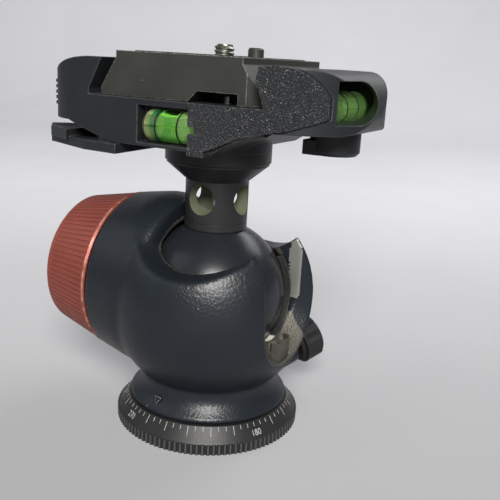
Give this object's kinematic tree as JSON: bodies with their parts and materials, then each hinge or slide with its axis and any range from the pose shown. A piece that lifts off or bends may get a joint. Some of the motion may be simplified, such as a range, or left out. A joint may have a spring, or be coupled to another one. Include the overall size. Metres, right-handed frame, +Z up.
{
  "type": "tripod ball head",
  "caption": "Tripod ball head: red-ringed side lock knob, portrait notch, panning base with a dial, and a lever-locked quick-release platform with level vials.",
  "frame": {"origin": "centre of the base's underside, at the mouth of the tripod socket", "axes": "+Z up along the neck, -X along the lock knob, +X towards the portrait notch"},
  "size_m": [0.1086, 0.0763, 0.1233],
  "materials": {
    "black_paint": "fine orange-peel black paint",
    "black_anodised": "satin black anodised",
    "red_anodised": "brick-red anodised, worn at the edges",
    "satin_black": "satin black",
    "grained_black": "coarse grained black",
    "plate_paint": "worn dark grey-olive paint",
    "steel": "turned steel",
    "brass": "turned brass",
    "liner_plastic": "black nylon",
    "white_plastic": "off-white acetal",
    "brown_plastic": "dark brown acetal",
    "black_plastic": "black nylon",
    "rubber_strip": "ribbed black rubber",
    "vial_glass": "clear acrylic",
    "vial_fluid": "green fluid",
    "ring_paint": "black ring",
    "raw_metal": "bare grey casting"
  },
  "bodies": {
    "base": {"base_disc": "black_anodised", "pan_spindle": "steel", "retaining_washer": "brass", "retaining_ring": "steel", "glide_ring": "brown_plastic"},
    "housing": {"housing": "black_paint", "spring_seat": "steel", "disc_springs": "steel", "ball_cup": "white_plastic", "seat_liner": "liner_plastic", "notch_stop": "raw_metal", "stop_screws": "steel", "lock_bushing": "brass", "pan_bushing": "brass"},
    "shoe": {"clamp_shoe": "white_plastic"},
    "lock_knob": {"lock_ring": "red_anodised", "knob_hub": "black_anodised", "lock_screw": "steel", "knob_face": "satin_black", "hub_screws": "steel", "friction_spring": "steel"},
    "friction_knob": {"friction_knob": "black_anodised"},
    "plunger": {"friction_plunger": "white_plastic"},
    "pan_pad": {"pan_pad": "white_plastic"},
    "pan_knob": {"pan_knob": "black_plastic", "pan_screw": "steel"},
    "ball": {"ball": "black_anodised"},
    "stem_foot": {"stem_foot": "black_anodised"},
    "platform": {"neck": "black_anodised", "receiver": "satin_black", "nose_cover": "grained_black", "flange_screws": "steel", "mount_screw": "steel", "front_vial": "vial_glass", "front_fluid": "vial_fluid", "front_rings": "ring_paint", "end_vial": "vial_glass", "end_fluid": "vial_fluid", "end_rings": "ring_paint", "jaw_springs": "steel", "button_spring": "steel", "trigger_spring": "steel", "catch_screw": "steel"},
    "jaw": {"clamp_jaw": "raw_metal"},
    "lever": {"quick_lever": "satin_black", "lever_cam": "steel", "lever_pin": "steel"},
    "release_button": {"release_button": "black_plastic"},
    "trigger": {"trigger_pin": "steel"},
    "catch": {"safety_catch": "satin_black"},
    "plate": {"quick_plate": "plate_paint", "plate_pads": "rubber_strip", "screw_clip": "steel", "twist_spring": "steel"},
    "camera_screw": {"camera_screw": "steel"},
    "twist_pin": {"twist_pin": "steel"}
  },
  "joints": [
    {"name": "pan_turn", "type": "hinge", "parent": "base", "child": "housing", "pos_m": [0, 0, 0], "axis": [0, 0, 1], "continuous": true},
    {"name": "shoe_slide", "type": "slide", "parent": "housing", "child": "shoe", "axis": [0.9994, 0, -0.0349], "range_m": [0, 0.0007]},
    {"name": "lock_turn", "type": "hinge", "parent": "shoe", "child": "lock_knob", "pos_m": [0, 0, 0.044], "axis": [0.9994, 0, -0.0349], "range_deg": [0, 144]},
    {"name": "friction_turn", "type": "hinge", "parent": "lock_knob", "child": "friction_knob", "pos_m": [0, 0, 0.044], "axis": [0.9994, 0, -0.0349], "range_deg": [0, 270]},
    {"name": "plunger_slide", "type": "slide", "parent": "lock_knob", "child": "plunger", "axis": [0.9994, 0, -0.0349], "range_m": [0, 0.0006]},
    {"name": "pan_pad_slide", "type": "slide", "parent": "housing", "child": "pan_pad", "axis": [-0.4728, -0.8188, -0.3256], "range_m": [0, 0.0005]},
    {"name": "pan_lock_turn", "type": "hinge", "parent": "pan_pad", "child": "pan_knob", "pos_m": [0.005, 0.00866, 0.0099], "axis": [-0.4728, -0.8188, -0.3256], "range_deg": [0, 180]},
    {"name": "side_tilt", "type": "hinge", "parent": "housing", "child": "ball", "pos_m": [0, 0, 0.044], "axis": [1, 0, 0], "range_deg": [-28, 28]},
    {"name": "front_tilt", "type": "hinge", "parent": "ball", "child": "stem_foot", "pos_m": [0, 0, 0.044], "axis": [0, 1, 0], "range_deg": [0, 90]},
    {"name": "spin", "type": "hinge", "parent": "stem_foot", "child": "platform", "pos_m": [0, 0, 0.044], "axis": [0, 0, 1], "continuous": true},
    {"name": "lever_turn", "type": "hinge", "parent": "platform", "child": "lever", "pos_m": [-0.024, 0.01, 0.092], "axis": [0, 0, -1], "range_deg": [0, 48], "stiffness_Nm_per_rad": 0.1, "springref_deg": -20.05},
    {"name": "jaw_slide", "type": "slide", "parent": "platform", "child": "jaw", "axis": [-1, 0, 0], "range_m": [0, 0.0026]},
    {"name": "button_push", "type": "slide", "parent": "platform", "child": "release_button", "axis": [1, 0, 0], "range_m": [0, 0.0015], "stiffness_N_per_m": 400, "springref_m": -0.001},
    {"name": "trigger_push", "type": "slide", "parent": "platform", "child": "trigger", "axis": [0, 0, -1], "range_m": [0, 0.0012], "stiffness_N_per_m": 300, "springref_m": -0.001, "deforming": ["trigger_spring"]},
    {"name": "catch_turn", "type": "hinge", "parent": "platform", "child": "catch", "pos_m": [0.039, 0, 0.097], "axis": [0, 0, 1], "range_deg": [0, 60]},
    {"name": "plate_slide", "type": "slide", "parent": "platform", "child": "plate", "axis": [0, 1, 0], "range_m": [0, 0.056]},
    {"name": "camera_screw_turn", "type": "hinge", "parent": "plate", "child": "camera_screw", "pos_m": [0, 0.0007, 0.11], "axis": [0, 0, 1], "continuous": true},
    {"name": "twist_pin_push", "type": "slide", "parent": "plate", "child": "twist_pin", "axis": [0, 0, -1], "range_m": [0, 0.0024], "stiffness_N_per_m": 300, "springref_m": -0.002, "deforming": ["twist_spring"]}
  ],
  "couplings": [
    {"joint": "shoe_slide", "follows": "lock_turn", "m_per_rad": 0.00027852},
    {"joint": "plunger_slide", "follows": "friction_turn", "m_per_rad": 0.00012732},
    {"joint": "pan_pad_slide", "follows": "pan_lock_turn", "m_per_rad": 0.00015915},
    {"joint": "jaw_slide", "follows": "lever_turn", "m_per_rad": 0.0031035}
  ]
}
